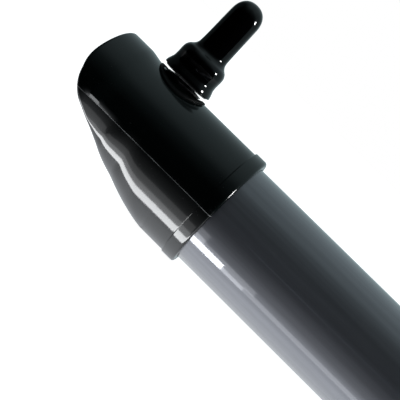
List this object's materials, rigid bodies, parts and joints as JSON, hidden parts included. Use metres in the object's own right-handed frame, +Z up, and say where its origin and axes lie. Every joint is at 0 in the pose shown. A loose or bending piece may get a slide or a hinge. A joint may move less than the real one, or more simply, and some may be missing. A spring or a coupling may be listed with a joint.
{
  "type": "ladder stabilizer",
  "caption": "U-shaped tubular stand-off that clamps to a ladder's rails with U-bolts and wing nuts, with slanted moulded shoes held by dipped clamp screws.",
  "frame": {"origin": "on the ground under the middle of the bounding box", "axes": "+X along the crossbar towards the right arm, +Y along the arms towards the shoes, +Z up, along the clamp screws"},
  "size_m": [1.124, 0.5572, 0.0767],
  "materials": {
    "tube_paint": "dark gunmetal grey satin coating over round steel tube",
    "shoe_plastic": "black moulded plastic with a soft gloss, fine scuffs and a thin parting line",
    "block_plastic": "black moulded plastic with a fine grain",
    "rubber": "matt black rubber",
    "zinc_steel": "bright zinc-plated steel",
    "black_steel": "black oxide steel with bright worn thread crests",
    "dipped_vinyl": "wet-looking black dipped vinyl"
  },
  "bodies": {
    "frame": {"crossbar_tube": "tube_paint", "arm_tube_left": "tube_paint", "splice_sleeve_left": "tube_paint", "splice_bolt_left_1": "zinc_steel", "splice_nut_left_1": "zinc_steel", "splice_bolt_left_2": "zinc_steel", "splice_nut_left_2": "zinc_steel", "rail_saddle_left": "block_plastic", "nut_saddle_left": "block_plastic", "rail_pad_left": "rubber", "clamp_washer_left_1": "zinc_steel", "clamp_washer_left_2": "zinc_steel", "shoe_upper_shell_left": "shoe_plastic", "shoe_lower_shell_left": "shoe_plastic", "sole_pad_left": "rubber", "shell_screw_left": "zinc_steel", "seat_ring_left": "rubber", "insert_nut_left": "black_steel", "arm_tube_right": "tube_paint", "splice_sleeve_right": "tube_paint", "splice_bolt_right_1": "zinc_steel", "splice_nut_right_1": "zinc_steel", "splice_bolt_right_2": "zinc_steel", "splice_nut_right_2": "zinc_steel", "rail_saddle_right": "block_plastic", "nut_saddle_right": "block_plastic", "rail_pad_right": "rubber", "clamp_washer_right_1": "zinc_steel", "clamp_washer_right_2": "zinc_steel", "shoe_upper_shell_right": "shoe_plastic", "shoe_lower_shell_right": "shoe_plastic", "sole_pad_right": "rubber", "shell_screw_right": "zinc_steel", "seat_ring_right": "rubber", "insert_nut_right": "black_steel"},
    "u_bolt_left": {"u_bolt_left": "zinc_steel"},
    "wing_nut_left_1": {"wing_nut_left_1": "zinc_steel"},
    "wing_nut_left_2": {"wing_nut_left_2": "zinc_steel"},
    "captive_washer_left": {"captive_washer_left": "black_steel"},
    "clamp_screw_left": {"clamp_screw_left": "black_steel", "screw_grip_left": "dipped_vinyl"},
    "u_bolt_right": {"u_bolt_right": "zinc_steel"},
    "wing_nut_right_1": {"wing_nut_right_1": "zinc_steel"},
    "wing_nut_right_2": {"wing_nut_right_2": "zinc_steel"},
    "captive_washer_right": {"captive_washer_right": "black_steel"},
    "clamp_screw_right": {"clamp_screw_right": "black_steel", "screw_grip_right": "dipped_vinyl"}
  },
  "joints": [
    {"name": "wing_turn_left_1", "type": "hinge", "parent": "frame", "child": "wing_nut_left_1", "pos_m": [-0.232, -0.12385, 0.02165], "axis": [0, 1, 0], "range_deg": [-3420, 5760]},
    {"name": "wing_turn_left_2", "type": "hinge", "parent": "frame", "child": "wing_nut_left_2", "pos_m": [-0.188, -0.12385, 0.02165], "axis": [0, 1, 0], "range_deg": [-3420, 5760]},
    {"name": "u_bolt_slide_left", "type": "slide", "parent": "frame", "child": "u_bolt_left", "axis": [0, -1, 0], "range_m": [-0.0128, 0.0212]},
    {"name": "screw_lift_left", "type": "slide", "parent": "frame", "child": "captive_washer_left", "axis": [0, 0, 1], "range_m": [-0.00025, 0.0055]},
    {"name": "screw_turn_left", "type": "hinge", "parent": "captive_washer_left", "child": "clamp_screw_left", "pos_m": [-0.54, 0.25435, 0.02165], "axis": [0, 0, 1], "range_deg": [-40, 1440]},
    {"name": "wing_turn_right_1", "type": "hinge", "parent": "frame", "child": "wing_nut_right_1", "pos_m": [0.188, -0.12385, 0.02165], "axis": [0, 1, 0], "range_deg": [-3420, 5760]},
    {"name": "wing_turn_right_2", "type": "hinge", "parent": "frame", "child": "wing_nut_right_2", "pos_m": [0.232, -0.12385, 0.02165], "axis": [0, 1, 0], "range_deg": [-3420, 5760]},
    {"name": "u_bolt_slide_right", "type": "slide", "parent": "frame", "child": "u_bolt_right", "axis": [0, -1, 0], "range_m": [-0.0128, 0.0212]},
    {"name": "screw_lift_right", "type": "slide", "parent": "frame", "child": "captive_washer_right", "axis": [0, 0, 1], "range_m": [-0.00025, 0.0055]},
    {"name": "screw_turn_right", "type": "hinge", "parent": "captive_washer_right", "child": "clamp_screw_right", "pos_m": [0.54, 0.25435, 0.02165], "axis": [0, 0, 1], "range_deg": [-40, 1440]}
  ],
  "couplings": [
    {"joint": "wing_turn_left_2", "follows": "wing_turn_left_1", "ratio": 1},
    {"joint": "u_bolt_slide_left", "follows": "wing_turn_left_1", "m_per_rad": 0.00019894},
    {"joint": "screw_lift_left", "follows": "screw_turn_left", "m_per_rad": 0.00019894},
    {"joint": "wing_turn_right_2", "follows": "wing_turn_right_1", "ratio": 1},
    {"joint": "u_bolt_slide_right", "follows": "wing_turn_right_1", "m_per_rad": 0.00019894},
    {"joint": "screw_lift_right", "follows": "screw_turn_right", "m_per_rad": 0.00019894}
  ]
}
